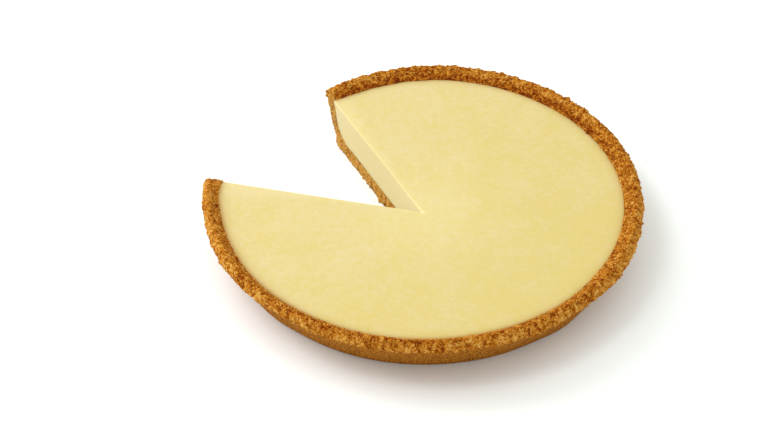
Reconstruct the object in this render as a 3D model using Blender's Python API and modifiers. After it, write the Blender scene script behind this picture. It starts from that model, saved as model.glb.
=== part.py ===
"""A key lime pie with one slice gone: a crust of pressed biscuit crumbs, and the set lime custard in it.

Metres, +Z up. The pie stands on its flat underside, and the origin is the middle of that face.
The crust took the shape of a nine-inch tin: a smooth flared wall, and a thick crumbly rim on top.
"""

import math
import random

import bmesh
import bpy
from mathutils import Vector, noise

MM = 0.001

# Driving sizes of the crust
RIM_RADIUS = 115.6 * MM  # outside of the rim, just over the top of the tin
BASE_RADIUS = 95.5 * MM  # where the wall would meet the underside in a sharp corner
WALL_TOP = 28.2 * MM  # height at which the smooth wall gives way to the rim
CREST = 32.9 * MM  # top of the rim
CREST_SKEW = 1.5  # over 1 sets the crest nearer the outside of the rim
SHOULDER = 27.6 * MM  # flat top of the smooth wall, inside the rim
LIP_HEIGHT = 26.8 * MM  # lower edge of the crumbly rim, which hangs a little over the wall
LIP_OVERHANG = 0.6 * MM
RIM_ROOT = 25.4 * MM  # how far down the rim is rooted in the wall
FLOOR = 7.8 * MM  # thickness of the crust under the custard
WALL_THICKNESS = 7.6 * MM  # level thickness of the wall, halfway up
RIM_WIDTH = 9.6 * MM  # level thickness of the wall at the custard's surface
INNER_FILLET = 10 * MM  # round corner inside, between floor and wall
FOOT_ROUND = 4 * MM  # round corner outside, between underside and wall

# Driving sizes of the custard
CUSTARD_LEVEL = 28.8 * MM
MENISCUS_RISE = 0.3 * MM  # how far the custard climbs the crust
MENISCUS_WIDTH = 2.4 * MM
GAP = 0.3 * MM  # free space between custard and crust
RIM_CLEARANCE = 1 * MM  # height over the custard from which the rim may hang over it

# The missing slice: two upright cuts that meet a little off the pie's middle
CUT_APEX = Vector((0.2 * MM, -11.5 * MM, 0))
CUT_ANGLES = (math.radians(117.2), math.radians(166.3))

# How the pressed crust stands out of round: (azimuth, spread) in degrees, then the distance
# at the foot of the wall, at the inside of the rim and at the outside of the rim.
# Next to the first cut the whole wall sags in.
LEANS = (
    (120, 25, 0, -7 * MM, 0),
    (122, 17, 0, 0, -6.2 * MM),
    (176, 7, 0, 1.8 * MM, 1.8 * MM),
    (48, 36, 0, -0.2 * MM, 2.5 * MM),
    (74, 18, 0, 0, 1 * MM),
    (332, 22, 0, 0, 0.2 * MM),
    (306, 14, 2.6 * MM, 0, 0.9 * MM),
    (236, 14, 1 * MM, 0, 0.3 * MM),
    (240, 38, 0, -0.3 * MM, -0.4 * MM),
)
RIM_SWELL = 1.1 * MM  # slow rise and fall along the rim
SWELL_LENGTH = 9 * MM
CRUMB_RELIEF = 1.2 * MM  # depth of the crumbs in the rim
CRUMB_LENGTH = 3.2 * MM
CRUMB_JITTER = 0.65 * MM

WALL_STEPS = 96
RIM_STEPS = 241
CUSTARD_STEPS = 112
RIM_SIDES = 7  # stretches that the rim's rounded top is drawn with
SHARP_ANGLE = 30  # edges bent more than this, in degrees, are shaded sharp

RIM_CRUMBS = 70  # coarse crumbs on the rim
CUT_CRUMBS = 20  # coarse crumbs on each cut face
CRUMB_BAND = (0.22, 1)  # the share of the rim's width that coarse crumbs stand in
CRUMB_SINK = 0.35  # how deep a crumb sits, in its radii
CRUMB_STRETCH = (0.75, 1.15)  # how long or short a crumb is along each of its axes
CRUMB_CORNERS = (0.82, 1.1)  # how far out each of its corners is
CRUMB_REACH = CRUMB_STRETCH[1] * CRUMB_CORNERS[1]
RIM_CRUMB_RADII = (1.1 * MM, 2.2 * MM)
CUT_CRUMB_RADII = (0.7 * MM, 1.35 * MM)

SEED = 11

CRUST_COLOUR = (0.42, 0.16, 0.025, 1)
CRUST_ROUGHNESS = 0.8
CUSTARD_COLOUR = (0.85, 0.70, 0.29, 1)
CUSTARD_ROUGHNESS = 0.45


def clear_scene():
    for leftover in list(bpy.data.objects):
        bpy.data.objects.remove(leftover)


def new_collection(name):
    collection = bpy.data.collections.new(name)
    bpy.context.scene.collection.children.link(collection)
    return collection


def food_material(name, colour, roughness):
    material = bpy.data.materials.new(name)
    material.use_nodes = True
    shader = material.node_tree.nodes["Principled BSDF"]
    shader.inputs["Base Color"].default_value = colour
    shader.inputs["Roughness"].default_value = roughness
    shader.inputs["Metallic"].default_value = 0
    material.diffuse_color = colour
    return material


def new_object(name, mesh, collection):
    created = bpy.data.objects.new(name, mesh)
    collection.objects.link(created)
    return created


def bake_modifiers(target):
    """Replaces the object's mesh with its evaluated one and drops its modifiers."""
    bpy.context.view_layer.update()
    graph = bpy.context.evaluated_depsgraph_get()
    mesh = bpy.data.meshes.new_from_object(target.evaluated_get(graph))
    target.modifiers.clear()
    target.data = mesh


def smooth_step(share):
    share = min(1, max(0, share))
    return share * share * (3 - 2 * share)


# The section of the crust: level radius of each face at a height


def wall_radius(height):
    return BASE_RADIUS + height * (RIM_RADIUS - BASE_RADIUS) / WALL_TOP


def inner_radius(height):
    """Inside of the crust: the wall less its thickness, which grows into the rim and into the fillet."""
    share = smooth_step((height - 0.5 * WALL_TOP) / (CUSTARD_LEVEL - 0.5 * WALL_TOP))
    thickness = WALL_THICKNESS + (RIM_WIDTH - WALL_THICKNESS) * share
    above_floor = min(1, max(0, (height - FLOOR) / INNER_FILLET))
    fillet = INNER_FILLET * (1 - math.sqrt(1 - (1 - above_floor) ** 2))
    return min(RIM_RADIUS, wall_radius(height)) - thickness - fillet


def inner_wall(count=6, crowding=1.6):
    """Points up the inside of the crust from its floor to its shoulder, closer together in the fillet."""
    heights = [FLOOR + (SHOULDER - FLOOR) * (step / count) ** crowding for step in range(count + 1)]
    return [(inner_radius(height), height) for height in heights]


def foot_corner(count=2):
    """The rounded corner from the wall down to the underside."""
    full_turn = math.pi / 2 - math.atan((RIM_RADIUS - BASE_RADIUS) / WALL_TOP)
    start = BASE_RADIUS - FOOT_ROUND * math.tan(full_turn / 2)
    turns = [full_turn * (1 - step / count) for step in range(count + 1)]
    return [(start + FOOT_ROUND * math.sin(turn), FOOT_ROUND * (1 - math.cos(turn))) for turn in turns]


def wall_profile():
    """Floor, inside, top, wall and underside of the smooth part of the crust, from axis to axis."""
    outer_wall = [(wall_radius(SHOULDER * step / 3), SHOULDER * step / 3) for step in (3, 2, 1)]
    return [(0, FLOOR), *inner_wall(), *outer_wall, *foot_corner(), (0, 0)]


def rim_top(across):
    """A point of the rim's top, which climbs slowly from the custard (0) and drops at the outside (1)."""
    skewed = across ** CREST_SKEW
    return RIM_RADIUS - RIM_WIDTH * (1 - across), WALL_TOP + (CREST - WALL_TOP) * math.sin(math.pi * skewed)


def rim_profile():
    """The rim's closed section: up its inside, over the top, down its outside and back through the wall."""
    shares = [0.5 - 0.5 * math.cos(math.pi * step / RIM_SIDES) for step in range(RIM_SIDES + 1)]
    over_the_top = [rim_top(share) for share in shares]
    lip = (wall_radius(LIP_HEIGHT) + LIP_OVERHANG, LIP_HEIGHT)
    inner_root = (RIM_RADIUS - RIM_WIDTH, RIM_ROOT)
    outer_root = (wall_radius(RIM_ROOT) - 2 * LIP_OVERHANG, RIM_ROOT)
    return [inner_root, *over_the_top, lip, outer_root]


def custard_profile():
    """Top and sides of the custard, a gap inside the crust, from axis to axis."""
    edge = inner_radius(CUSTARD_LEVEL) - GAP
    profile = [(0, CUSTARD_LEVEL), (edge - 2 * MENISCUS_WIDTH, CUSTARD_LEVEL)]
    for share in (1, 0.5, 0):
        rise = MENISCUS_RISE * (1 - share) ** 2
        profile.append((edge - MENISCUS_WIDTH * share, CUSTARD_LEVEL + rise))
    profile += [(radius - GAP, height + GAP) for radius, height in reversed(inner_wall())]
    return profile + [(0, FLOOR + GAP)]


def turned(name, profile, steps, collection, closed=False):
    """A solid of revolution: the profile, given as (radius, height), with a Screw modifier, made a mesh."""
    count = len(profile)
    edges = [(index, index + 1) for index in range(count - 1)]
    if closed:
        edges.append((count - 1, 0))
    mesh = bpy.data.meshes.new(name)
    mesh.from_pydata([(radius, 0, height) for radius, height in profile], edges, [])
    solid = new_object(name, mesh, collection)
    screw = solid.modifiers.new("turn", "SCREW")
    screw.steps = screw.render_steps = steps
    screw.use_merge_vertices = True
    screw.merge_threshold = 0.01 * MM
    bake_modifiers(solid)
    weld(solid)
    return solid


def weld(solid):
    """Merges the points on the axis and turns every face outwards."""
    body = bmesh.new()
    body.from_mesh(solid.data)
    bmesh.ops.remove_doubles(body, verts=body.verts, dist=0.01 * MM)
    bmesh.ops.dissolve_degenerate(body, edges=body.edges, dist=0.001 * MM)
    bmesh.ops.recalc_face_normals(body, faces=body.faces)
    body.to_mesh(solid.data)
    body.free()


def lean_of(azimuth):
    """How far the crust stands out of round there: at its foot, at the rim's inside and its outside."""
    totals = [0, 0, 0]
    for middle, spread, *distances in LEANS:
        away = (math.degrees(azimuth) - middle + 180) % 360 - 180
        weight = math.exp(-((away / spread) ** 2))
        totals = [total + weight * distance for total, distance in zip(totals, distances)]
    return totals


def leaned(point):
    """The point moved with the uneven crust, with nothing moved in the middle of the pie."""
    level = Vector((point.x, point.y, 0))
    if level.length < 0.5 * BASE_RADIUS:
        return point
    foot, inside, outside = lean_of(math.atan2(point.y, point.x))
    inner = inner_radius(point.z)
    across = min(1, max(0, (level.length - inner) / (wall_radius(point.z) - inner)))
    upward = smooth_step(point.z / WALL_TOP)
    at_top = inside + (outside - inside) * across
    fade_in = smooth_step(2 * level.length / BASE_RADIUS - 1)
    return point + level.normalized() * fade_in * (upward * at_top + (1 - upward) * across * foot)


def lean(solid):
    for vertex in solid.data.vertices:
        vertex.co = leaned(vertex.co.copy())


def crumble_rim(solid, dice):
    """Pushes the points of the rim in and out along its surface, as crumbs stand in it."""
    mesh = solid.data
    normals = [vertex.normal.copy() for vertex in mesh.vertices]
    for vertex, normal in zip(mesh.vertices, normals):
        place = vertex.co.copy()
        jitter = dice.uniform(-1, 1) * CRUMB_JITTER
        if place.z < 0.5 * (LIP_HEIGHT + RIM_ROOT):
            continue
        swell = RIM_SWELL * noise.noise(place / SWELL_LENGTH)
        crumbs = CRUMB_RELIEF * noise.noise(place / CRUMB_LENGTH)
        moved = place + normal * (swell + crumbs + jitter)
        keep_off_custard(moved)
        vertex.co = moved


def keep_off_custard(point):
    """Moves a point of the rim outwards where it would hang into the custard's edge."""
    radius = math.hypot(point.x, point.y)
    nearest = inner_radius(CUSTARD_LEVEL)
    if radius < nearest and point.z < CUSTARD_LEVEL + MENISCUS_RISE + RIM_CLEARANCE:
        point.x *= nearest / radius
        point.y *= nearest / radius


def crumb(name, place, radius, dice, collection):
    """One coarse crumb: a small icosphere with its corners pulled about."""
    body = bmesh.new()
    bmesh.ops.create_icosphere(body, subdivisions=1, radius=radius)
    stretch = Vector([dice.uniform(*CRUMB_STRETCH) for _ in range(3)])
    turn = Vector([dice.uniform(-1, 1) for _ in range(3)]).normalized()
    for vertex in body.verts:
        vertex.co = vertex.co * dice.uniform(*CRUMB_CORNERS) * stretch
    body.transform(turn.to_track_quat("Z", "Y").to_matrix().to_4x4())
    mesh = bpy.data.meshes.new(name)
    body.to_mesh(mesh)
    body.free()
    made = new_object(name, mesh, collection)
    made.location = place
    return made


def out_of_slice(point, margin):
    """True where the point is at least margin outside the missing slice."""
    away = point - CUT_APEX
    first, second = (Vector((math.cos(angle), math.sin(angle))) for angle in CUT_ANGLES)
    right_of_first = away.x * first.y - away.y * first.x
    left_of_second = second.x * away.y - second.y * away.x
    return max(right_of_first, left_of_second) > margin


def scatter_rim_crumbs(dice, collection):
    placed = 0
    while placed < RIM_CRUMBS:
        azimuth = dice.uniform(-math.pi, math.pi)
        across = dice.uniform(*CRUMB_BAND)
        radius = dice.uniform(*RIM_CRUMB_RADII)
        level_radius, height = rim_top(across)
        height -= CRUMB_SINK * radius
        place = Vector((level_radius * math.cos(azimuth), level_radius * math.sin(azimuth), height))
        reach = CRUMB_REACH * radius
        over_custard = height - reach > CUSTARD_LEVEL + RIM_CLEARANCE
        beside_custard = level_radius - reach > inner_radius(CUSTARD_LEVEL)
        place = leaned(place)
        if not (over_custard or beside_custard) or not out_of_slice(place, reach):
            continue
        crumb(f"rim_crumb_{placed}", place, radius, dice, collection)
        placed += 1


def in_crust(point, margin):
    """True where the point is in the crust's section, margin away from the custard and from the underside."""
    radius = math.hypot(point.x, point.y)
    height = point.z
    if height < margin or radius > wall_radius(height) - margin:
        return False
    under_custard = height < FLOOR - margin
    in_wall = height < WALL_TOP and radius > inner_radius(height) + margin
    return under_custard or in_wall


def scatter_cut_crumbs(dice, collection):
    """Crumbs that stand out of the two cut faces, in the crust's share of each."""
    for side, angle in enumerate(CUT_ANGLES):
        along = Vector((math.cos(angle), math.sin(angle), 0))
        out_of_face = Vector((-along.y, along.x, 0)) * (1 if side == 0 else -1)
        placed = 0
        while placed < CUT_CRUMBS:
            reach = dice.uniform(0, RIM_RADIUS - CUT_APEX.y)
            height = dice.uniform(0, WALL_TOP)
            radius = dice.uniform(*CUT_CRUMB_RADII)
            place = CUT_APEX + along * reach + Vector((0, 0, height))
            if not in_crust(place, CRUMB_REACH * radius + GAP):
                continue
            place = leaned(place) - out_of_face * CRUMB_SINK * radius
            crumb(f"cut_crumb_{side}_{placed}", place, radius, dice, collection)
            placed += 1


def slice_cutter(collection):
    """The missing slice as a tall wedge: a flat three-cornered outline with a thickness, made a mesh."""
    reach = 1.6 * RIM_RADIUS
    corners = [CUT_APEX]
    corners += [CUT_APEX + reach * Vector((math.cos(angle), math.sin(angle), 0)) for angle in CUT_ANGLES]
    outline = bpy.data.curves.new("slice_outline", "CURVE")
    outline.dimensions = "2D"
    outline.fill_mode = "BOTH"
    outline.extrude = 2 * CREST
    spline = outline.splines.new("POLY")
    spline.points.add(len(corners) - 1)
    for point, corner in zip(spline.points, corners):
        point.co = (corner.x, corner.y, 0, 1)
    spline.use_cyclic_u = True
    guide = new_object("slice_outline", outline, collection)
    bpy.context.view_layer.update()
    graph = bpy.context.evaluated_depsgraph_get()
    mesh = bpy.data.meshes.new_from_object(guide.evaluated_get(graph))
    cutter = new_object("slice_cutter", mesh, collection)
    cutter.matrix_world = guide.matrix_world
    bpy.data.objects.remove(guide)
    weld(cutter)
    cutter.hide_render = True
    cutter.display_type = "WIRE"
    return cutter


def boolean(target, operation, other):
    """Cuts, or joins, with one object or with all the objects of a collection, and applies it."""
    modifier = target.modifiers.new(operation.lower(), "BOOLEAN")
    modifier.operation = operation
    if isinstance(other, bpy.types.Collection):
        modifier.operand_type = "COLLECTION"
        modifier.collection = other
        modifier.solver = "MANIFOLD"
    else:
        modifier.object = other
    bake_modifiers(target)


def keep_main_body(solid):
    """Drops loose scraps, and the walls of any hollow that fusing sealed."""
    body = bmesh.new()
    body.from_mesh(solid.data)
    unseen = set(body.verts)
    islands = []
    while unseen:
        island, todo = set(), [next(iter(unseen))]
        while todo:
            vertex = todo.pop()
            if vertex in island:
                continue
            island.add(vertex)
            todo += [edge.other_vert(vertex) for edge in vertex.link_edges]
        unseen -= island
        islands.append(island)
    islands.sort(key=len)
    for scrap in islands[:-1]:
        bmesh.ops.delete(body, geom=list(scrap), context="VERTS")
    body.to_mesh(solid.data)
    body.free()


def finish(solid, material):
    solid.data.materials.clear()
    solid.data.materials.append(material)
    solid.data.shade_smooth()
    solid.data.set_sharp_from_angle(angle=math.radians(SHARP_ANGLE))


def make_crust(collection, helpers, cutter):
    dice = random.Random(SEED)
    crust = turned("crust", wall_profile(), WALL_STEPS, collection)
    lean(crust)
    rim = turned("rim", rim_profile(), RIM_STEPS, helpers, closed=True)
    crumble_rim(rim, dice)
    lean(rim)
    boolean(crust, "UNION", rim)
    bpy.data.objects.remove(rim)
    boolean(crust, "DIFFERENCE", cutter)
    crumbs = new_collection("crumbs")
    scatter_rim_crumbs(dice, crumbs)
    scatter_cut_crumbs(dice, crumbs)
    boolean(crust, "UNION", crumbs)
    for fused in list(crumbs.objects):
        bpy.data.objects.remove(fused)
    bpy.data.collections.remove(crumbs)
    keep_main_body(crust)
    finish(crust, food_material("baked crumb crust", CRUST_COLOUR, CRUST_ROUGHNESS))


def make_custard(collection, cutter):
    custard = turned("custard", custard_profile(), CUSTARD_STEPS, collection)
    lean(custard)
    boolean(custard, "DIFFERENCE", cutter)
    finish(custard, food_material("set lime custard", CUSTARD_COLOUR, CUSTARD_ROUGHNESS))


def main():
    clear_scene()
    pie = new_collection("key_lime_pie")
    helpers = new_collection("cutters")
    cutter = slice_cutter(helpers)
    make_crust(pie, helpers, cutter)
    make_custard(pie, cutter)


main()
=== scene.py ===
import math

import bmesh
import bpy
import numpy as np
from mathutils import Matrix, Vector
from mathutils.geometry import delaunay_2d_cdt


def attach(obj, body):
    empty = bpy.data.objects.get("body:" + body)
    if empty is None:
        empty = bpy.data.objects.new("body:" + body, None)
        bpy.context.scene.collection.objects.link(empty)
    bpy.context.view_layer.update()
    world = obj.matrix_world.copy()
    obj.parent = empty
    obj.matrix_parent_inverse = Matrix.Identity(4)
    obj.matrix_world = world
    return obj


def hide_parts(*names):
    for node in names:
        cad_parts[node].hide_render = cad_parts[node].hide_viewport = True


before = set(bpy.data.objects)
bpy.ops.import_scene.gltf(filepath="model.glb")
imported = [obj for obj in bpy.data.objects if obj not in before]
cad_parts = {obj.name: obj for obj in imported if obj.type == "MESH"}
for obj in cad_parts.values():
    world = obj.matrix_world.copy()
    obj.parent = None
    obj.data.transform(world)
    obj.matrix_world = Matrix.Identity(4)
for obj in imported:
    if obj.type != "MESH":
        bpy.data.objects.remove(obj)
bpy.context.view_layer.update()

MM = 0.001

# Camera: a short telephoto that looks down on the pie from the front
CAMERA_LENS = 101.5
CAMERA_PLACE = Vector((0, -888.5, 776.5)) * MM
CAMERA_AIM = Vector((-18.0, 17.7, 0)) * MM
CAMERA_ROLL = math.radians(-0.84)
CAMERA_SENSOR = 36
CAMERA_NEAR = 10 * MM
CAMERA_FAR = 20

# Table and room, then the name, place, size and power of each soft box
TABLE_SIZE = 6
TABLE_TONE = "#F3F6F8"
ROOM_TONE = "#FDFFF8"
SOFT_BOXES = (
    ("overhead soft box", (-0.64, -0.35, 1.43), 0.5, 3.8),
    ("left soft box", (-1.2, 0.3, 0.6), 0.8, 7.3),
    ("back soft box", (-0.9, 0.7, 1.1), 1.05, 6.1),
    ("right soft box", (0.5, -0.3, 1.5), 1.05, 1.4),
)

# Driving sizes of the crust, as in the solids; the crumbs strewn on the rim come on top of its crest
RIM_RADIUS = 115.6 * MM
BASE_RADIUS = 95.5 * MM
WALL_TOP = 28.2 * MM
CREST = 33.0 * MM
CREST_SKEW = 1.5
SLUMPED_BOXINESS = 0.45
INNER_CRUMBLE = 0.3 * MM
SHOULDER = 27.6 * MM
LIP_HEIGHT = 26.8 * MM
LIP_OVERHANG = 0.6 * MM
FLOOR = 7.8 * MM
WALL_THICKNESS = 7.6 * MM
RIM_WIDTH = 9.6 * MM
INNER_FILLET = 10 * MM
FOOT_ROUND = 4 * MM

# Driving sizes of the custard
CUSTARD_LEVEL = 28.8 * MM
MENISCUS_RISE = 0.35 * MM
MENISCUS_WIDTH = 2.6 * MM
BEDDED = 0.15 * MM
SPREAD_ON_RIM = 0.4 * MM
THIN_EDGE = 0.9 * MM
THIN_EDGE_DROP = 0.3 * MM
CUT_EDGE_ROUND = 0.35 * MM
CUT_SLOPE = 0.14
CUT_SLOPE_WIDTH = 4.5 * MM

# Where light and shade are painted into the custard: painted light, paler at the tip and deep in the gap;
# a painted highlight along the cuts' top edges, duller on their rounding; and painted shade beside the
# crust, whose narrow last line is the thin custard over the brown crust
PALE_TIP = 33 * MM
DEEP_IN = 70 * MM
DEEP_IN_PALENESS = 0.6
SLOPE_HIGHLIGHT = 0.85
ROUND_DULLNESS = 0.8
EDGE_BAND = 8 * MM
EDGE_SHADE_TONE = 0.27
EDGE_LINE_TONE = 0.5
EDGE_LINE_SHARPNESS = 12

# The gap: two upright cuts that meet a little off the pie's middle
CUT_APEX = np.array((-0.55 * MM, -10.0 * MM))
CUT_ANGLES = (math.radians(117.2), math.radians(166.5))

# How the crust stands out of round: azimuth and spread in degrees, then the distance at the foot
# of the wall, at the inside of the rim and at the outside of the rim
LEANS = (
    (120, 25, 0, -7 * MM, 0),
    (122, 17, 0, 0, -6.2 * MM),
    (176, 9, 0, 2.5 * MM, 1.7 * MM),
    (48, 36, 0, -0.2 * MM, 2.8 * MM),
    (74, 18, 0, 0, 1.2 * MM),
    (332, 22, 0, 0, 0.2 * MM),
    (268, 40, 0, 0.9 * MM, 0),
    (308, 16, 0, 0.4 * MM, 0.9 * MM),
    (296, 14, 0.9 * MM, 0, 0),
    (317, 10, 3.2 * MM, 0, 0),
    (232, 16, 0.4 * MM, -0.3 * MM, -1.0 * MM),
    (166, 6, 0, 0, 1.0 * MM),
    (203, 12, 0, -0.5 * MM, -0.3 * MM),
    (240, 38, 0, -0.3 * MM, -0.4 * MM),
    (312, 9, 0, 0, -1.4 * MM),
    (328, 7, 0, 0, 0.4 * MM),
    (217, 9, 2.1 * MM, 0, -0.4 * MM),
    (229, 6, 0, 0, -0.8 * MM),
)

# At the back right the crust stands up where it meets the custard; at the front it doesn't. The step
# grows with the cosine of the angle from its azimuth, and it ends at this share of the rim's width
STEP_LOW = 0.5 * MM
STEP_HEIGHT = 1.4 * MM
STEP_AZIMUTH = math.radians(45)
STEP_FACING = (-0.2, 0.4)
STEP_END = 0.4

# Crumbs broke loose along the foot of each cut and lie against it, the most of them in one small heap
SPILL = 0.9 * MM
SPILL_WAVES = (4.3 * MM, 2.9 * MM, 1.9 * MM)
SPILL_HEAP = 1.5 * MM
SPILL_HEAP_PLACE = 48 * MM
SPILL_HEAP_LENGTH = 2.6 * MM

# The lip pales between two radii, by at least the first share, with the second added in patches of
# these lengths along it
LIP_PALE = (112.24 * MM, 115.046 * MM)
LIP_PALENESS = (0.4, 1.6)
LIP_WAVES = (31 * MM, 13 * MM, 5 * MM)

# Painted shade: the rim is painted darker at its inside at the back and at its outside at the front,
# where it faces away from the main lamps: the sine of the direction and the share of the rim's width
# over which that sets in, and how much
SHADE_FACING = (1 / 7, 6 / 7)
SHADE_INSIDE = (0.1, 0.45)
SHADE_OUTSIDE = (0.2, 0.7)
SHADE_AT_BACK = 0.9
SHADE_AT_FRONT = (-0.05, 0.4)

# How crumbly the crust is: on the rim beside the custard, with what is added up to a share of its
# width, just under the lip and down the wall; and how crumbly it has to be for loose crumbs, and
# their share there
RIM_CRUMBLY = (0.7, 0.3)
RIM_CRUMBLY_FROM = 0.25
UNDER_LIP_CRUMBLY = 0.2
WALL_CRUMBLY = 0.08
STREWN_ABOVE = 0.75
STREWN = 0.85

# The rim slumps where it was cut: along the rim, crest left standing, bulge inwards and outwards,
# at the first and at the second cut
SLUMPS = ((5 * MM, 0.55, 0, 0.3 * MM), (7 * MM, 0.25, 0.3 * MM, 0.7 * MM))

# Lumps along the rim: their lengths, how far they stand out and up, the azimuth where they stand out
# most, the cosine of the angle from it and the share of the rim's width over which they set in
LUMP_WAVES = (11.3 * MM, 7.1 * MM, 4.7 * MM)
LUMP_RISE = 0.55 * MM
LUMP_LIFT = 0.7
LUMP_AZIMUTH = math.radians(25)
LUMP_FACING = (0.4, 0.75)
LUMP_ACROSS = (0.3, 0.8)

# The crust beside a cut: how far in it is ragged and paler, how pale at the second and the first cut
# (told apart by the cosine of the direction), and how much of the cut's own tone it takes
RAGGED = 1.6 * MM
RAGGED_PALENESS = (0.6, 1.2)
SECOND_CUT_BELOW = -0.8
RAGGED_CUT_TONE = 0.12

# The crust's cut faces: each mark at the floor with what the wall and the rim add, and the heights
# over which the wall and the rim set in
CUT_FACE_MARKS = {
    "crumbly": (1, 0, 0),
    "pressed": (0, 0, 0),
    "fresh": (1.9, -1.7, 0.1),
    "strewn": (1, 0, 0),
    "cut": (0.18, 0.12, -0.3),
    "painted_shade": (0, 0, 0),
}
CUT_WALL = (FLOOR, FLOOR + 3 * MM)
CUT_RIM = (26 * MM, 30 * MM)

# Crumb relief: depth and length of its swell, then depth and size of each kind of crumb, the distance
# from a crumb's middle that lies level, and how far and how finely the crumbs are bent out of shape
SWELL = (0.9 * MM, 10 * MM)
RELIEF = {"Lump": (1.1 * MM, 4.2 * MM), "Crumb": (0.75 * MM, 2.0 * MM), "Grain": (0.4 * MM, 1.0 * MM)}
RELIEF_LEVEL = 0.45
WARP = 1.6 * MM
WARP_LENGTH = 2.5 * MM

# Strewn pieces: smallest and largest radius and spacing in mm, share sunk in, roundness, and whether
# each has its own tone; then how densely they lie, how they are stretched and how finely broken
STREWN_KINDS = {
    "crust_lumps": (0.8, 1.4, 4.2, 0.45, 2, False),
    "crust_crumbs": (0.4, 0.75, 1.15, 0.3, 1, True),
    "crust_grains": (0.26, 0.4, 0.8, 0.2, 1, True),
}
STREWN_CLOSENESS = 1.6
STREWN_STRETCH = ((0.7, 0.7, 0.6), (1.3, 1.15, 1.0))
STREWN_ROUGHNESS = 10 / 9 * MM

# How finely the surfaces are drawn, and where their points lie closer
CRUST_DIRECTIONS = 1120
FLAT_SHARES = (0, 0.35, 0.7)
INNER_POINTS = 10
RIM_POINTS = 30
RIM_SPACING = 0.9
LIP_DROPS = (0.5, 1)
WALL_POINTS = 14
WALL_POINTS_FROM = LIP_HEIGHT - 2 * MM
WALL_POINTS_TO = 3 * MM
FOOT_POINTS = 5
CUT_GRAIN = 0.7 * MM
CUT_JITTER = 0.3
CUT_NEAREST = 0.4
TOUCHING = 0.001 * MM
CUSTARD_DIRECTIONS = 420
FLAT_RINGS = 59
LEVEL_RINGS = 14
MENISCUS_RINGS = 10
PROFILE_POINTS = 80
CUT_LEVELS = 15
CUT_EDGE_STEPS = 8
CUT_EDGE_REACH = 1.6
CLOSER_AT_EDGE = 1.5
CLOSER_AT_FLOOR = 1.6
WELD = 0.002 * MM
SEED = 7


# Building blocks


def linear(code):
    """An sRGB hex colour as the linear colour that a shader wants."""
    parts = [int(code[place:place + 2], 16) / 255 for place in (1, 3, 5)]
    lit = [part / 12.92 if part <= 0.04045 else ((part + 0.055) / 1.055) ** 2.4 for part in parts]
    return (*lit, 1.0)


def add(tree, kind, inputs=None, stops=(), **settings):
    """Adds a node with its settings and a ramp's stops, and fills or links its inputs."""
    node = tree.nodes.new(kind)
    for name, value in settings.items():
        setattr(node, name, value)
    for index, (place, code) in enumerate(stops):
        marks = node.color_ramp.elements
        mark = marks[index] if index < 2 else marks.new(place)
        mark.position = place
        mark.color = linear(code)
    for socket, value in (inputs or {}).items():
        if isinstance(value, bpy.types.NodeSocket):
            tree.links.new(value, node.inputs[socket])
        else:
            node.inputs[socket].default_value = value
    return node


def ramp(value, start, end):
    """Rises smoothly from 0 where the value is at the start to 1 where it is at the end."""
    share = np.clip((value - start) / (end - start), 0, 1)
    return share * share * (3 - 2 * share)


def bell(away, width):
    """Falls smoothly from 1 at no distance to about a third at the width."""
    return np.exp(-((away / width) ** 2))


# The pie's section and its unevenness


def wall_radius(height):
    return BASE_RADIUS + height * (RIM_RADIUS - BASE_RADIUS) / WALL_TOP


def inner_radius(height):
    share = ramp(height, 0.5 * WALL_TOP, CUSTARD_LEVEL)
    thickness = WALL_THICKNESS + (RIM_WIDTH - WALL_THICKNESS) * share
    above_floor = np.clip((height - FLOOR) / INNER_FILLET, 0, 1)
    fillet = INNER_FILLET * (1 - np.sqrt(1 - (1 - above_floor) ** 2))
    return np.minimum(RIM_RADIUS, wall_radius(height)) - thickness - fillet


def inner_step(angles):
    """How high the crust stands up where it meets the custard."""
    place = CUT_APEX + directions(angles) * reach(angles, RIM_RADIUS)[..., None]
    facing = np.cos(np.arctan2(place[..., 1], place[..., 0]) - STEP_AZIMUTH)
    return STEP_LOW + (STEP_HEIGHT - STEP_LOW) * ramp(facing, *STEP_FACING)


def rim_top(across, slumps, step):
    """The rim's top from the custard, 0, to the outside, 1, with how far it has slumped at each cut."""
    radius = RIM_RADIUS - (RIM_WIDTH + INNER_CRUMBLE) * (1 - across)
    crest = np.sin(np.pi * across ** CREST_SKEW)
    crest = crest + step / (CREST - WALL_TOP) * (1 - ramp(across, 0, STEP_END))
    boxy = np.sin(np.pi * across) ** SLUMPED_BOXINESS
    for slump, (_, left_standing, inwards, outwards) in zip(slumps, SLUMPS):
        crest = crest + slump * (left_standing * boxy - crest)
        radius = radius + slump * (outwards * across - inwards * (1 - across) * boxy)
    return radius, WALL_TOP + (CREST - WALL_TOP) * crest


def lean(x, y, z):
    """How far outwards the uneven crust stands at a point of the even one."""
    radius = np.hypot(x, y)
    azimuth = np.degrees(np.arctan2(y, x))
    foot, inside, outside = np.zeros((3, *np.shape(radius)))
    for middle, spread, at_foot, at_inside, at_outside in LEANS:
        away = (azimuth - middle + 180) % 360 - 180
        weight = bell(away, spread)
        foot = foot + weight * at_foot
        inside = inside + weight * at_inside
        outside = outside + weight * at_outside
    inner = inner_radius(z)
    across = np.clip((radius - inner) / (wall_radius(z) - inner), 0, 1)
    upward = ramp(z, 0, WALL_TOP)
    fade_in = ramp(radius, 0.5 * BASE_RADIUS, BASE_RADIUS)
    return fade_in * (upward * (inside + (outside - inside) * across) + (1 - upward) * across * foot)


def directions(angles):
    return np.stack([np.cos(angles), np.sin(angles)], axis=-1)


def sweep_angles(count):
    """Angles seen from the point where the cuts meet, from the second cut round the pie to the first."""
    return np.linspace(CUT_ANGLES[1], CUT_ANGLES[0] + 2 * math.pi, count)


def from_cut(angles, distance):
    """How far a point is from the first cut and from the second cut."""
    turns = (CUT_ANGLES[0] + 2 * math.pi - angles, angles - CUT_ANGLES[1])
    return tuple(distance * np.sin(np.minimum(turn, math.pi / 2)) for turn in turns)


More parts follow.
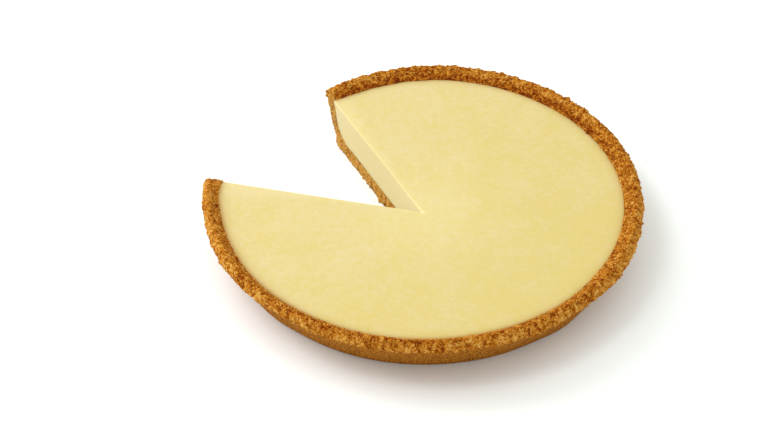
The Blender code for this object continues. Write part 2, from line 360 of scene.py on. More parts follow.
def reach(angles, radius):
    """Distance from the cuts' meeting point, along a direction, to the circle of that radius."""
    along = directions(angles) @ CUT_APEX
    return np.sqrt(np.maximum(along ** 2 - CUT_APEX @ CUT_APEX + radius ** 2, 0)) - along


def placed(angles, distance, height):
    """The uneven pie's points at distances from the cuts' meeting point and at heights."""
    along = directions(angles)
    even = CUT_APEX + along * distance[..., None]
    uneven = even + along * lean(even[..., 0], even[..., 1], height)[..., None]
    return np.concatenate([uneven, height[..., None]], axis=-1)


def grid_faces(rows, columns):
    corner = np.arange(rows - 1)[:, None] * columns + np.arange(columns - 1)[None, :]
    return np.stack([corner, corner + columns, corner + columns + 1, corner + 1], axis=-1).reshape(-1, 4)


def joined_mesh(name, parts, marks):
    """One closed mesh from (points, faces) parts, with each mark's value at each point."""
    points, faces, first = [], [], 0
    for part_points, part_faces in parts:
        points.append(part_points.reshape(-1, 3))
        faces += [tuple(int(corner) + first for corner in face) for face in part_faces]
        first += len(points[-1])
    mesh = bpy.data.meshes.new(name)
    mesh.from_pydata(np.concatenate(points).tolist(), [], faces)
    for mark, values in marks.items():
        layer = mesh.attributes.new(mark, "FLOAT", "POINT")
        values = np.concatenate([np.ravel(each) for each in values])
        layer.data.foreach_set("value", values.astype(np.float32))
    body = bmesh.new()
    body.from_mesh(mesh)
    bmesh.ops.remove_doubles(body, verts=body.verts, dist=WELD)
    bmesh.ops.recalc_face_normals(body, faces=body.faces)
    body.to_mesh(mesh)
    body.free()
    mesh.shade_smooth()
    piece = bpy.data.objects.new(name, mesh)
    bpy.context.scene.collection.objects.link(piece)
    return piece


# Camera, table and light


def make_camera():
    camera = bpy.data.objects.new("camera", bpy.data.cameras.new("camera"))
    bpy.context.scene.collection.objects.link(camera)
    camera.data.lens = CAMERA_LENS
    camera.data.sensor_width = CAMERA_SENSOR
    camera.data.clip_start = CAMERA_NEAR
    camera.data.clip_end = CAMERA_FAR
    aim = (CAMERA_AIM - CAMERA_PLACE).to_track_quat("-Z", "Y").to_matrix()
    aim = aim @ Matrix.Rotation(CAMERA_ROLL, 3, "Z")
    camera.matrix_world = Matrix.Translation(CAMERA_PLACE) @ aim.to_4x4()
    bpy.context.scene.camera = camera


def make_table():
    """A white acrylic table, matt as paper."""
    bpy.ops.mesh.primitive_plane_add(size=TABLE_SIZE)
    table = bpy.context.object
    table.name = "table"
    material = bpy.data.materials.new("matt white acrylic")
    material.use_nodes = True
    shader = material.node_tree.nodes["Principled BSDF"]
    shader.inputs["Base Color"].default_value = linear(TABLE_TONE)
    shader.inputs["Roughness"].default_value = 0.9
    shader.inputs["Specular IOR Level"].default_value = 0.1
    table.data.materials.append(material)


def soft_box(name, place, size, power):
    light = bpy.data.objects.new(name, bpy.data.lights.new(name, "AREA"))
    light.data.shape = "DISK"
    light.data.size = size
    light.data.energy = power
    light.location = place
    light.rotation_euler = (-place).to_track_quat("-Z", "Y").to_euler()
    bpy.context.scene.collection.objects.link(light)


def make_light():
    """A bright white room with soft boxes on the left, overhead, at the back and weakly on the right."""
    world = bpy.data.worlds.new("white room")
    bpy.context.scene.world = world
    world.use_nodes = True
    background = world.node_tree.nodes["Background"]
    background.inputs["Color"].default_value = linear(ROOM_TONE)
    background.inputs["Strength"].default_value = 1.0
    for name, place, size, power in SOFT_BOXES:
        soft_box(name, Vector(place), size, power)
    bpy.context.scene.view_settings.view_transform = "Standard"


# The crust

BISCUIT_TONES = (
    (0.1, "#662706"), (0.3, "#88420A"), (0.5, "#A56516"), (0.75, "#BA7E2C"), (1.0, "#CC9B4D"),
)
BISCUIT_START = -0.345
PRESSED_TONES = ((0.37, "#532306"), (0.63, "#BE7B24"))
BROKEN_TONE = "#A49A60"


def crust_section(slumps, step, lumps):
    """The crust's outline from the floor's middle over the rim to the underside's middle.

    Gives each point's share of the way, radius and height, how crumbly it is and how hard it was pressed.
    """
    floor_radius = float(inner_radius(FLOOR))
    inner = [(share, floor_radius, FLOOR, 0, 0) for share in FLAT_SHARES]
    for height in FLOOR + (SHOULDER - FLOOR) * np.linspace(0, 1, INNER_POINTS) ** CLOSER_AT_FLOOR:
        inner.append((1, float(inner_radius(height)), height, 0, 0))
    outer = []
    for drop in LIP_DROPS:
        height = WALL_TOP - drop * (WALL_TOP - LIP_HEIGHT)
        outer.append((1, wall_radius(height) + drop * LIP_OVERHANG, height, 1, 0))
    under_lip = LIP_HEIGHT - LIP_OVERHANG
    outer.append((1, wall_radius(under_lip), under_lip, UNDER_LIP_CRUMBLY, 1))
    for height in np.linspace(WALL_POINTS_FROM, WALL_POINTS_TO, WALL_POINTS):
        outer.append((1, wall_radius(height), height, WALL_CRUMBLY, 1))
    turn = math.pi / 2 - math.atan((RIM_RADIUS - BASE_RADIUS) / WALL_TOP)
    start = BASE_RADIUS - FOOT_ROUND * math.tan(turn / 2)
    for angle in turn * np.linspace(1, 0, FOOT_POINTS):
        outer.append((1, start + FOOT_ROUND * math.sin(angle), FOOT_ROUND * (1 - math.cos(angle)), 0, 1))
    outer += [(share, start, 0, 0, 1) for share in reversed(FLAT_SHARES)]
    across = 0.5 - 0.5 * np.cos(np.pi * np.linspace(0, 1, RIM_POINTS) ** RIM_SPACING)
    radius, height = rim_top(across, slumps, step)
    radius = radius + lumps * ramp(across, *LUMP_ACROSS)
    height = height + LUMP_LIFT * lumps * np.sin(np.pi * across)
    shape = radius.shape[:-1]
    crumbly = RIM_CRUMBLY[0] + RIM_CRUMBLY[1] * ramp(across, 0, RIM_CRUMBLY_FROM)
    rim = [np.broadcast_to(each, radius.shape) for each in (1, radius, height, crumbly, 0)]
    columns = []
    for index in range(5):
        before = np.broadcast_to([row[index] for row in inner], (*shape, len(inner)))
        after = np.broadcast_to([row[index] for row in outer], (*shape, len(outer)))
        columns.append(np.concatenate([before, rim[index], after], axis=-1))
    return columns


def inside_outline(points, outline):
    """True for each point that lies inside a closed outline in its plane."""
    inside = np.zeros(len(points), bool)
    for (x0, y0), (x1, y1) in zip(outline, np.roll(outline, -1, axis=0)):
        if y0 == y1:
            continue
        crosses = (y0 > points[:, 1]) != (y1 > points[:, 1])
        inside ^= crosses & (points[:, 0] < x0 + (x1 - x0) * (points[:, 1] - y0) / (y1 - y0))
    return inside


def rim_state(angles):
    """How far the rim has slumped at the first and the second cut, its step and its lumps."""
    away = from_cut(angles, RIM_RADIUS)
    slumps = [bell(each, along)[:, None] for each, (along, *_) in zip(away, SLUMPS)]
    place = CUT_APEX + directions(angles) * reach(angles, RIM_RADIUS)[..., None]
    azimuth = np.arctan2(place[..., 1], place[..., 0])
    turns = math.tau * RIM_RADIUS * azimuth
    waves = sum(np.sin(turns / length + order) for order, length in enumerate(LUMP_WAVES))
    lumps = LUMP_RISE * waves / len(LUMP_WAVES) * ramp(np.cos(azimuth - LUMP_AZIMUTH), *LUMP_FACING)
    return slumps, inner_step(angles)[:, None], lumps[:, None]


def cut_plate(angle, dice):
    """The crust's cut face at one side of the gap, as fine triangles inside the section's outline."""
    section = crust_section(*rim_state(np.array([angle])))
    share, radius, height, *_ = (column[0] for column in section)
    ring = np.stack([share * reach(np.full(share.shape, angle), radius), height], axis=1)
    low, high = ring.min(axis=0), ring.max(axis=0)
    across, up = (np.arange(low[axis], high[axis], CUT_GRAIN) for axis in (0, 1))
    inner = np.stack(np.meshgrid(across, up), axis=-1).reshape(-1, 2)
    inner += dice.uniform(-CUT_JITTER, CUT_JITTER, inner.shape) * CUT_GRAIN
    inner = inner[inside_outline(inner, ring)]
    nearest = np.min(np.hypot(*(inner[:, None, :] - ring[None, :, :]).transpose(2, 0, 1)), axis=1)
    inner = inner[nearest > CUT_NEAREST * CUT_GRAIN]
    flat = [Vector(point) for point in np.concatenate([ring, inner])]
    points, _, faces, *_ = delaunay_2d_cdt(flat, [], [list(range(len(ring)))], 1, TOUCHING)
    points = np.array([tuple(point) for point in points])
    return spilled(np.full(len(points), angle), points[:, 0], points[:, 1]), faces


def spilled(angles, distance, height):
    """The crust's points, with the foot of each cut face pushed out into the gap."""
    points = placed(angles, distance, height)
    heap = sum(np.sin(math.tau * distance / wave) for wave in SPILL_WAVES) / len(SPILL_WAVES)
    for away, cut, side in zip(from_cut(angles, distance), CUT_ANGLES, (1, -1)):
        amount = SPILL * (0.5 + heap) + SPILL_HEAP * bell(distance - SPILL_HEAP_PLACE, SPILL_HEAP_LENGTH)
        amount = amount * bell(away, RAGGED) * ramp(height, FLOOR, 0)
        points[..., 0] -= side * amount * math.sin(cut)
        points[..., 1] += side * amount * math.cos(cut)
    return points


def on_the_table(tree, geometry):
    """Nodes that lift to the table's height whatever reaches lower."""
    place = add(tree, "GeometryNodeInputPosition").outputs["Position"]
    lifted = add(tree, "ShaderNodeVectorMath", {0: place, 1: (-1.0, -1.0, 0.0)}, operation="MAXIMUM")
    moved = {"Geometry": geometry, "Position": lifted.outputs[0]}
    return add(tree, "GeometryNodeSetPosition", moved).outputs[0]


def relief_tree():
    """Geometry nodes that push the surface in and out as pressed crumbs of three sizes do."""
    tree = bpy.data.node_groups.new("pressed crumb relief", "GeometryNodeTree")
    face = tree.interface
    face.new_socket("Geometry", in_out="INPUT", socket_type="NodeSocketGeometry")
    sizes = {"Swell depth": SWELL[0], "Swell length": SWELL[1]}
    for kind, (depth, size) in RELIEF.items():
        sizes[f"{kind} depth"] = depth
        sizes[f"{kind} size"] = size
    for name, value in sizes.items():
        face.new_socket(name, in_out="INPUT", socket_type="NodeSocketFloat").default_value = value
    face.new_socket("Material", in_out="INPUT", socket_type="NodeSocketMaterial")
    face.new_socket("Geometry", in_out="OUTPUT", socket_type="NodeSocketGeometry")
    group = add(tree, "NodeGroupInput")
    place = add(tree, "GeometryNodeInputPosition").outputs["Position"]
    warp = add(tree, "ShaderNodeTexNoise", {"Vector": place, "Scale": 1 / WARP_LENGTH, "Detail": 1.0})
    centred = add(
        tree, "ShaderNodeVectorMath", {0: warp.outputs["Color"], 1: (0.5, 0.5, 0.5)}, operation="SUBTRACT"
    )
    shift = add(tree, "ShaderNodeVectorMath", {0: centred.outputs[0], "Scale": WARP}, operation="SCALE")
    warped = add(tree, "ShaderNodeVectorMath", {0: place, 1: shift.outputs[0]}).outputs[0]
    total = 0.0
    for kind in RELIEF:
        size, depth = group.outputs[f"{kind} size"], group.outputs[f"{kind} depth"]
        scale = add(tree, "ShaderNodeMath", {0: 1.0, 1: size}, operation="DIVIDE")
        cells = add(tree, "ShaderNodeTexVoronoi", {"Vector": warped, "Scale": scale.outputs[0]})
        distance = cells.outputs["Distance"]
        proud = add(tree, "ShaderNodeMath", {0: RELIEF_LEVEL, 1: distance}, operation="SUBTRACT")
        layer = add(tree, "ShaderNodeMath", {0: proud.outputs[0], 1: depth}, operation="MULTIPLY")
        layer = add(tree, "ShaderNodeMath", {0: layer.outputs[0], 1: total}, operation="ADD")
        total = layer.outputs[0]
    shown = add(tree, "ShaderNodeMath", {0: total, 1: 1 / MM}, operation="MULTIPLY")
    scale = add(tree, "ShaderNodeMath", {0: 1.0, 1: group.outputs["Swell length"]}, operation="DIVIDE")
    swell = add(tree, "ShaderNodeTexNoise", {"Vector": place, "Scale": scale.outputs[0], "Detail": 1.0})
    proud = add(tree, "ShaderNodeMath", {0: swell.outputs["Fac"], 1: 0.5}, operation="SUBTRACT")
    layer = add(
        tree, "ShaderNodeMath", {0: proud.outputs[0], 1: group.outputs["Swell depth"]}, operation="MULTIPLY"
    )
    total = add(tree, "ShaderNodeMath", {0: total, 1: layer.outputs[0]}, operation="ADD").outputs[0]
    crumbly = add(tree, "GeometryNodeInputNamedAttribute", {"Name": "crumbly"}, data_type="FLOAT")
    height = add(tree, "ShaderNodeMath", {0: total, 1: crumbly.outputs["Attribute"]}, operation="MULTIPLY")
    normal = add(tree, "GeometryNodeInputNormal").outputs["Normal"]
    offset = add(tree, "ShaderNodeVectorMath", {0: normal, "Scale": height.outputs[0]}, operation="SCALE")
    # The relief is also stored for the crumb shading, which paints the hollows darker as painted shade
    stored = add(
        tree, "GeometryNodeStoreNamedAttribute",
        {"Geometry": group.outputs["Geometry"], "Name": "relief", "Value": shown.outputs[0]},
        data_type="FLOAT", domain="POINT",
    )
    moved = add(
        tree, "GeometryNodeSetPosition", {"Geometry": stored.outputs[0], "Offset": offset.outputs[0]}
    )
    lifted = on_the_table(tree, moved.outputs[0])
    real = add(tree, "GeometryNodeRealizeInstances", {"Geometry": lifted})
    finish = group.outputs["Material"]
    coated = add(tree, "GeometryNodeSetMaterial", {"Geometry": real.outputs[0], "Material": finish})
    add(tree, "NodeGroupOutput", {"Geometry": coated.outputs[0]})
    return tree


def scatter_tree():
    """Geometry nodes that strew crumbs over a surface, sunk a little into it, each turned its own way."""
    tree = bpy.data.node_groups.new("strewn crumbs", "GeometryNodeTree")
    face = tree.interface
    face.new_socket("Geometry", in_out="INPUT", socket_type="NodeSocketGeometry")
    for name, value in (("Smallest", 0.5 * MM), ("Largest", 1 * MM), ("Spacing", 2 * MM), ("Sink", 0.3)):
        face.new_socket(name, in_out="INPUT", socket_type="NodeSocketFloat").default_value = value
    for name, value in (("Seed", 0), ("Roundness", 1)):
        face.new_socket(name, in_out="INPUT", socket_type="NodeSocketInt").default_value = value
    face.new_socket("Material", in_out="INPUT", socket_type="NodeSocketMaterial")
    face.new_socket("Geometry", in_out="OUTPUT", socket_type="NodeSocketGeometry")
    group = add(tree, "NodeGroupInput")
    spacing = group.outputs["Spacing"]
    area = add(tree, "ShaderNodeMath", {0: spacing, 1: spacing}, operation="MULTIPLY")
    density = add(tree, "ShaderNodeMath", {0: STREWN_CLOSENESS, 1: area.outputs[0]}, operation="DIVIDE")
    strewn = add(tree, "GeometryNodeInputNamedAttribute", {"Name": "strewn"}, data_type="FLOAT")
    points = add(
        tree, "GeometryNodeDistributePointsOnFaces",
        {
            "Mesh": group.outputs["Geometry"], "Distance Min": spacing,
            "Density Max": density.outputs[0], "Density Factor": strewn.outputs["Attribute"],
            "Seed": group.outputs["Seed"],
        },
        distribute_method="POISSON",
    )
    size = add(
        tree, "FunctionNodeRandomValue",
        {2: group.outputs["Smallest"], 3: group.outputs["Largest"], "Seed": group.outputs["Seed"]},
    )
    sink = group.outputs["Sink"]
    depth = add(tree, "ShaderNodeMath", {0: sink, 1: size.outputs[1]}, operation="MULTIPLY")
    down = add(tree, "ShaderNodeMath", {0: depth.outputs[0], 1: -1.0}, operation="MULTIPLY")
    normal = points.outputs["Normal"]
    into = add(tree, "ShaderNodeVectorMath", {0: normal, "Scale": down.outputs[0]}, operation="SCALE")
    sunk = add(
        tree, "GeometryNodeSetPosition", {"Geometry": points.outputs["Points"], "Offset": into.outputs[0]}
    )
    full_turn = (math.tau, math.tau, math.tau)
    turn = add(tree, "FunctionNodeRandomValue", {1: full_turn, "Seed": 3}, data_type="FLOAT_VECTOR")
    least, most = STREWN_STRETCH
    stretch = add(
        tree, "FunctionNodeRandomValue", {0: least, 1: most, "Seed": 4}, data_type="FLOAT_VECTOR"
    )
    scale = add(
        tree, "ShaderNodeVectorMath", {0: stretch.outputs[0], "Scale": size.outputs[1]}, operation="SCALE"
    )
    roundness = group.outputs["Roundness"]
    crumb = add(tree, "GeometryNodeMeshIcoSphere", {"Radius": 1.0, "Subdivisions": roundness})
    crumbs = add(
        tree, "GeometryNodeInstanceOnPoints",
        {
            "Points": sunk.outputs[0], "Instance": crumb.outputs["Mesh"], "Rotation": turn.outputs[0],
            "Scale": scale.outputs[0],
        },
    )
    tone = add(tree, "FunctionNodeRandomValue", {2: 0.0, 3: 1.0, "Seed": 5})
    toned = add(
        tree, "GeometryNodeStoreNamedAttribute",
        {"Geometry": crumbs.outputs[0], "Name": "tone", "Value": tone.outputs[1]},
        data_type="FLOAT", domain="INSTANCE",
    )
    real = add(tree, "GeometryNodeRealizeInstances", {"Geometry": toned.outputs[0]})
    place = add(tree, "GeometryNodeInputPosition").outputs["Position"]
    rough = add(tree, "ShaderNodeTexNoise", {"Vector": place, "Scale": 1 / STREWN_ROUGHNESS, "Detail": 1.0})
    centred = add(
        tree, "ShaderNodeVectorMath", {0: rough.outputs["Color"], 1: (0.5, 0.5, 0.5)}, operation="SUBTRACT"
    )
    largest = group.outputs["Largest"]
    shift = add(tree, "ShaderNodeVectorMath", {0: centred.outputs[0], "Scale": largest}, operation="SCALE")
    broken = add(tree, "GeometryNodeSetPosition", {"Geometry": real.outputs[0], "Offset": shift.outputs[0]})
    lifted = on_the_table(tree, broken.outputs[0])
    finish = group.outputs["Material"]
    coated = add(tree, "GeometryNodeSetMaterial", {"Geometry": lifted, "Material": finish})
    add(tree, "NodeGroupOutput", {"Geometry": coated.outputs[0]})
    return tree


def grown(name, source, tree, values):
    """A new plain mesh piece: what the node tree makes of the source piece with those values."""
    piece = bpy.data.objects.new(name, source.data)
    bpy.context.scene.collection.objects.link(piece)
    modifier = piece.modifiers.new(name, "NODES")
    modifier.node_group = tree
    sockets = {item.name: item.identifier for item in tree.interface.items_tree if item.in_out == "INPUT"}
    for key, value in values.items():
        modifier[sockets[key]] = value
    bpy.context.view_layer.update()
    graph = bpy.context.evaluated_depsgraph_get()
    mesh = bpy.data.meshes.new_from_object(piece.evaluated_get(graph))
    piece.modifiers.clear()
    piece.data = mesh
    mesh.name = name
    return piece


def crust_body(dice):
    """The crust as one closed body, with marks for where it is crumbly, pressed, cut or strewn, and for its
    painted shade.
    """
    angles = sweep_angles(CRUST_DIRECTIONS)
    share, radius, height, crumbly, pressed = crust_section(*rim_state(angles))
    around = np.broadcast_to(angles[:, None], radius.shape)
    distance = share * reach(around, radius)
    skin = spilled(around, distance, height)
    plates = [cut_plate(angle, dice) for angle in (angles[0], angles[-1])]
    broken = bell(np.minimum(*from_cut(around, distance)), RAGGED) * (distance > FLOOR)
    outside = (pressed > 0) | (crumbly > 0)
    waves = sum(np.sin(math.tau * RIM_RADIUS * angles / length) for length in LIP_WAVES)[:, None]
    edge = (crumbly > 0) * ramp(radius, *LIP_PALE)
    edge = edge * (LIP_PALENESS[0] + LIP_PALENESS[1] * ramp(waves, -0.5, 0.5))
    across = (radius - RIM_RADIUS + RIM_WIDTH) / RIM_WIDTH
    # Painted shade: darker at the rim's inside at the back and at its outside at the front
    inwards = 1 - ramp(across, *SHADE_INSIDE)
    outwards = SHADE_AT_FRONT[0] + SHADE_AT_FRONT[1] * ramp(across, *SHADE_OUTSIDE)
    at_back, at_front = (ramp(side * np.sin(angles)[:, None], *SHADE_FACING) for side in (1, -1))
    painted_shade = SHADE_AT_BACK * at_back * inwards + at_front * outwards
    painted_shade = (crumbly > 0) * painted_shade * (1 - broken)
    paler = np.where(np.cos(angles) < SECOND_CUT_BELOW, *RAGGED_PALENESS)[:, None]
    values = {
        "crumbly": np.where(outside, np.maximum(crumbly, broken), 0),
        "pressed": pressed * (1 - broken),
        "fresh": np.maximum(paler * broken, edge),
        "strewn": np.where(crumbly > STREWN_ABOVE, STREWN, np.where(outside, broken, 0)),
        "cut": RAGGED_CUT_TONE * broken * outside,
        "painted_shade": painted_shade,
    }
    parts = [(skin, grid_faces(*skin.shape[:2])), *plates]
    marks = {name: [value] for name, value in values.items()}
    for points, _ in plates:
        in_wall = ramp(points[:, 2], *CUT_WALL)
        in_rim = ramp(points[:, 2], *CUT_RIM)
        for name, (on_floor, more_in_wall, more_in_rim) in CUT_FACE_MARKS.items():
            marks[name].append(on_floor + more_in_wall * in_wall + more_in_rim * in_rim)
    return joined_mesh("crust_base", parts, marks)


def biscuit(name, loose):
    """Digestive biscuit ground with butter, pressed and baked.

    The eye sees gold crumbs, dark brown hollows between them, which the relief paints darker as painted
    shade, and a dry matt surface that is paler and duller where it was broken or cut, and smoother and
    plainer where the tin pressed it.
    A pressed body tells its crumbs apart by cells; a loose crumb carries its own tone.
    """
    material = bpy.data.materials.new(name)
    material.use_nodes = True
    tree = material.node_tree
    shader = tree.nodes["Principled BSDF"]
    place = add(tree, "ShaderNodeTexCoord").outputs["Object"]
    cells = add(tree, "ShaderNodeTexVoronoi", {"Vector": place, "Scale": 1 / (1.0 * MM)})
    cell = add(tree, "ShaderNodeSeparateColor", {"Color": cells.outputs["Color"]}).outputs["Red"]
    if loose:
        cell = add(tree, "ShaderNodeAttribute", attribute_name="tone").outputs["Fac"]
    grain = add(tree, "ShaderNodeTexNoise", {"Vector": place, "Scale": 1 / (0.8 * MM), "Detail": 2.0})
    patch = add(tree, "ShaderNodeTexNoise", {"Vector": place, "Scale": 1 / (14 * MM), "Detail": 2.0})
    clump = add(tree, "ShaderNodeTexNoise", {"Vector": place, "Scale": 1 / (4.5 * MM), "Detail": 1.0})
    fresh = add(tree, "ShaderNodeAttribute", attribute_name="fresh").outputs["Fac"]
    # Painted shade: the relief darkens the hollows between crumbs and lightens the proud crumbs
    relief = add(tree, "ShaderNodeAttribute", attribute_name="relief").outputs["Fac"]
    # Painted shade: the rim's shade mark darkens it where it faces away from the main lamps
    painted_shade = add(tree, "ShaderNodeAttribute", attribute_name="painted_shade").outputs["Fac"]
    weights = [
        (cell, 0.72), (grain.outputs["Fac"], 0.5), (clump.outputs["Fac"], 0.4),
        (patch.outputs["Fac"], 0.25), (fresh, 0.12), (relief, 0.3), (painted_shade, -0.28),
    ]
    mixed = BISCUIT_START
    for value, weight in weights:
        part = add(tree, "ShaderNodeMath", {0: value, 1: weight, 2: mixed}, operation="MULTIPLY_ADD")
        mixed = part.outputs[0]
    crumbs = add(tree, "ShaderNodeValToRGB", {"Fac": mixed}, BISCUIT_TONES)
    broken = add(tree, "ShaderNodeAttribute", attribute_name="cut").outputs["Fac"]
    inside = add(
        tree, "ShaderNodeMix", {"Factor": broken, 6: crumbs.outputs["Color"], 7: linear(BROKEN_TONE)},
        data_type="RGBA",
    )
    speck = add(tree, "ShaderNodeTexNoise", {"Vector": place, "Scale": 1 / (0.9 * MM), "Detail": 2.0})
    skin = add(tree, "ShaderNodeValToRGB", {"Fac": speck.outputs["Fac"]}, PRESSED_TONES)
    pressed = add(tree, "ShaderNodeAttribute", attribute_name="pressed").outputs["Fac"]
    colour = add(
        tree, "ShaderNodeMix", {"Factor": pressed, 6: inside.outputs[2], 7: skin.outputs["Color"]},
        data_type="RGBA",
    )
    tree.links.new(colour.outputs[2], shader.inputs["Base Color"])
    shader.inputs["Roughness"].default_value = 0.85
    shader.inputs["Specular IOR Level"].default_value = 0.03
    pits = add(tree, "ShaderNodeTexNoise", {"Vector": place, "Scale": 1 / (0.5 * MM), "Detail": 3.0})
    pits = pits.outputs["Fac"]
    bump = add(tree, "ShaderNodeBump", {"Height": pits, "Strength": 0.6, "Distance": 0.25 * MM})
    tree.links.new(bump.outputs["Normal"], shader.inputs["Normal"])
    return material


def make_crust():
    dice = np.random.default_rng(SEED)
    base = crust_body(dice)
    pressed = biscuit("pressed biscuit crumb", loose=False)
    loose = biscuit("loose biscuit crumb", loose=True)
    body = grown("crust_body", base, relief_tree(), {"Material": pressed})
    scatter = scatter_tree()
    pieces = [body]
    for order, (name, kind) in enumerate(STREWN_KINDS.items()):
        smallest, largest, spacing, sink, roundness, own_tone = kind
        values = {
            "Smallest": smallest * MM, "Largest": largest * MM, "Spacing": spacing * MM, "Sink": sink,
            "Roundness": roundness, "Seed": SEED + order, "Material": loose if own_tone else pressed,
        }
        pieces.append(grown(name, body, scatter, values))
    bpy.data.objects.remove(base)
    for piece in pieces:
        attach(piece, "root")
    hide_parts("crust")


# The custard

CUSTARD_TONES = ((0.35, "#C7B56E"), (0.65, "#CCBB8A"))
CUSTARD_START = -0.07
CUSTARD_EDGE_TONE = "#A26E16"
CUSTARD_CUT_TONE = "#C3B280"
CUSTARD_PALE_TONE = "#DED2A0"

# Share of the pale tone, which is painted light, on the top, what a cut adds to it, and the way towards
# which the top is painted paler, as painted light from the lamps at the left and the back, in shares for
# each metre
PALE_ON_TOP = 0.25
PALE_ON_CUT = 1.3
PALER_TOWARDS = (-2.5, 1.8, 0.0)


def custard_rings():
    """Share of the way, radius, top and bottom height of each ring of the custard, middle to edge."""
    floor_radius = float(inner_radius(FLOOR)) + BEDDED
    edge = float(inner_radius(CUSTARD_LEVEL)) + SPREAD_ON_RIM
    flat = np.linspace(0, 1, FLAT_RINGS + 1)[:-1]
    share = np.concatenate([flat, np.ones(LEVEL_RINGS + MENISCUS_RINGS)])
    meniscus = edge - MENISCUS_WIDTH * np.linspace(1, 0, MENISCUS_RINGS) ** CLOSER_AT_EDGE
    level = np.linspace(floor_radius, meniscus[0], LEVEL_RINGS + 1)[:-1]
    radius = np.concatenate([np.full(FLAT_RINGS, floor_radius), level, meniscus])
    into_edge = np.clip((radius - meniscus[0]) / MENISCUS_WIDTH, 0, 1)
    thinned = np.clip(1 - (edge - radius) / THIN_EDGE, 0, 1)
    top = CUSTARD_LEVEL + MENISCUS_RISE * into_edge ** 2 - THIN_EDGE_DROP * thinned ** 2
    heights = FLOOR + (CUSTARD_LEVEL - FLOOR) * np.linspace(0, 1, PROFILE_POINTS) ** CLOSER_AT_FLOOR
    bottom = np.where(share < 1, FLOOR, np.interp(radius, inner_radius(heights) + BEDDED, heights)) - BEDDED
    bottom[-1] = top[-1] - BEDDED
    return share, radius, top, bottom


def custard_angles(distance):
    """Angles of the sweep, drawn together near the cuts so that the rounded edges have points enough."""
    even = sweep_angles(CUSTARD_DIRECTIONS)[:, None]
    steps = np.linspace(0, 1, CUT_EDGE_STEPS) ** CLOSER_AT_EDGE * CUT_EDGE_REACH * CUT_EDGE_ROUND
    angles = np.broadcast_to(even, (CUSTARD_DIRECTIONS, distance.shape[1])).copy()
    for index, step in enumerate(steps):
        turn = np.arcsin(np.minimum(step / np.maximum(distance[index], step + MM), 1))
        angles[index] = even[0] + np.minimum(turn, even[index] - even[0])
        turn = np.arcsin(np.minimum(step / np.maximum(distance[-1 - index], step + MM), 1))
        angles[-1 - index] = even[-1] - np.minimum(turn, even[index] - even[0])
    return angles


def custard_body():
    share, radius, top, bottom = custard_rings()
    even = np.broadcast_to(sweep_angles(CUSTARD_DIRECTIONS)[:, None], (CUSTARD_DIRECTIONS, len(share)))
    angles = custard_angles(share * reach(even, radius))
    distance = share * reach(angles, radius)
    away = np.minimum(*from_cut(angles, distance))
    depth = np.clip(1 - away / CUT_EDGE_ROUND, 0, 1)
    sloping = np.clip(1 - away / CUT_SLOPE_WIDTH, 0, 1)
    drop = CUT_EDGE_ROUND * (1 - np.sqrt(1 - depth ** 2))
    drop = drop + 0.5 * CUT_SLOPE * CUT_SLOPE_WIDTH * sloping ** 2
    over = placed(angles, distance, top - drop)
    under = placed(angles, distance, np.broadcast_to(bottom, distance.shape).copy())
    levels = np.linspace(0, 1, CUT_LEVELS)[None, :, None]
    cuts = [over[side][:, None, :] * (1 - levels) + under[side][:, None, :] * levels for side in (0, -1)]
    rim = over[:, -1:, :] * (1 - levels) + under[:, -1:, :] * levels
    sheets = (over, under, rim, *cuts)
    parts = [(sheet, grid_faces(*sheet.shape[:2])) for sheet in sheets]
    from_tip = [distance, distance, distance[:, -1:], distance[0][:, None], distance[-1][:, None]]
    from_tip = [np.broadcast_to(each, sheet.shape[:2]) for each, sheet in zip(from_tip, sheets)]
    # Painted light: paler near the tip and, on the cut faces, deep in the gap; a painted highlight along
    # the cuts' top edges
    pale = [bell(each, PALE_TIP) for each in from_tip]
    pale[0] = np.maximum(pale[0], SLOPE_HIGHLIGHT * sloping * (1 - ROUND_DULLNESS * depth ** 2))
    # Painted shade: darker and browner in a band beside the crust; its narrow last line is the thin custard
    # over the crust
    edge = ramp(radius, radius[-1] - EDGE_BAND, radius[-1]) * (share == 1)
    edge = EDGE_SHADE_TONE * edge ** 2 + EDGE_LINE_TONE * edge ** EDGE_LINE_SHARPNESS
    plain = [np.zeros(sheet.shape[:2]) for sheet in sheets]
    cut_faces = [1 - DEEP_IN_PALENESS * bell(each, DEEP_IN) for each in from_tip[3:]]
    marks = {
        "cut": [ROUND_DULLNESS * depth ** 2, *plain[1:3], *cut_faces],
        "edge": [np.broadcast_to(edge, over.shape[:2]), *plain[1:]],
        "pale": pale,
    }
    return joined_mesh("custard_body", parts, marks)


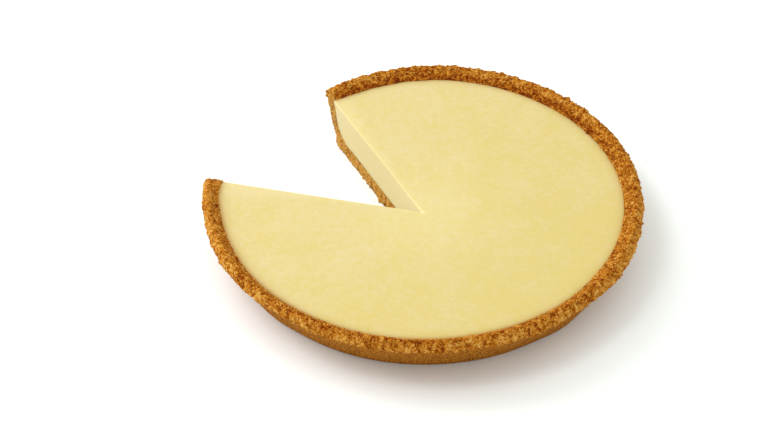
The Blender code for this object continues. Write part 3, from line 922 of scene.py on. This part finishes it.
def set_custard():
    """Condensed milk, egg yolk and lime juice, baked until set and then chilled.

    The eye sees a pale yellow cream that light enters a little, satin on top, in faint cloudy patches.
    """
    material = bpy.data.materials.new("set lime custard")
    material.use_nodes = True
    tree = material.node_tree
    shader = tree.nodes["Principled BSDF"]
    place = add(tree, "ShaderNodeTexCoord").outputs["Object"]
    clouds = add(tree, "ShaderNodeTexNoise", {"Vector": place, "Scale": 1 / (25 * MM), "Detail": 1.0})
    mottle = add(tree, "ShaderNodeTexNoise", {"Vector": place, "Scale": 1 / (5 * MM), "Detail": 3.0})
    curd = add(tree, "ShaderNodeTexNoise", {"Vector": place, "Scale": 1 / (2.6 * MM), "Detail": 3.0})
    # Painted light: the top is paler and bluer towards the lamps at the left and the back
    paler = add(tree, "ShaderNodeVectorMath", {0: place, 1: PALER_TOWARDS}, operation="DOT_PRODUCT")
    weights = [
        (clouds.outputs["Fac"], 0.3), (mottle.outputs["Fac"], 0.35), (curd.outputs["Fac"], 0.44),
        (paler.outputs["Value"], 0.25),
    ]
    mixed = CUSTARD_START
    for value, weight in weights:
        part = add(tree, "ShaderNodeMath", {0: value, 1: weight, 2: mixed}, operation="MULTIPLY_ADD")
        mixed = part.outputs[0]
    tones = add(tree, "ShaderNodeValToRGB", {"Fac": mixed}, CUSTARD_TONES)
    # Painted shade beside the crust, from the edge mark, with the thin custard over the crust at its last
    # line
    edge = add(tree, "ShaderNodeAttribute", attribute_name="edge").outputs["Fac"]
    top = add(
        tree, "ShaderNodeMix", {"Factor": edge, 6: tones.outputs["Color"], 7: linear(CUSTARD_EDGE_TONE)},
        data_type="RGBA",
    )
    cut = add(tree, "ShaderNodeAttribute", attribute_name="cut").outputs["Fac"]
    colour = add(
        tree, "ShaderNodeMix", {"Factor": cut, 6: top.outputs[2], 7: linear(CUSTARD_CUT_TONE)},
        data_type="RGBA",
    )
    # Painted light: the pale mark lightens the tip, deep in the gap and along the cuts' top edges
    pale = add(tree, "ShaderNodeAttribute", attribute_name="pale").outputs["Fac"]
    share = {0: cut, 1: PALE_ON_CUT, 2: PALE_ON_TOP}
    share = add(tree, "ShaderNodeMath", share, operation="MULTIPLY_ADD").outputs[0]
    amount = add(tree, "ShaderNodeMath", {0: pale, 1: share}, operation="MULTIPLY")
    colour = add(
        tree, "ShaderNodeMix",
        {"Factor": amount.outputs[0], 6: colour.outputs[2], 7: linear(CUSTARD_PALE_TONE)},
        data_type="RGBA",
    )
    tree.links.new(colour.outputs[2], shader.inputs["Base Color"])
    shader.inputs["Roughness"].default_value = 0.5
    shader.inputs["IOR"].default_value = 1.42
    shader.inputs["Specular IOR Level"].default_value = 0.4
    shader.inputs["Subsurface Weight"].default_value = 0.35
    shader.inputs["Subsurface Radius"].default_value = (1.0, 0.75, 0.35)
    shader.inputs["Subsurface Scale"].default_value = 3 * MM
    ripple = add(tree, "ShaderNodeTexNoise", {"Vector": place, "Scale": 1 / (5 * MM), "Detail": 3.0})
    ripple = ripple.outputs["Fac"]
    bump = add(tree, "ShaderNodeBump", {"Height": ripple, "Strength": 0.25, "Distance": 0.4 * MM})
    tree.links.new(bump.outputs["Normal"], shader.inputs["Normal"])
    return material


def make_custard():
    custard = custard_body()
    custard.data.materials.append(set_custard())
    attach(custard, "root")
    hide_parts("custard")


make_camera()
make_table()
make_light()
make_crust()
make_custard()
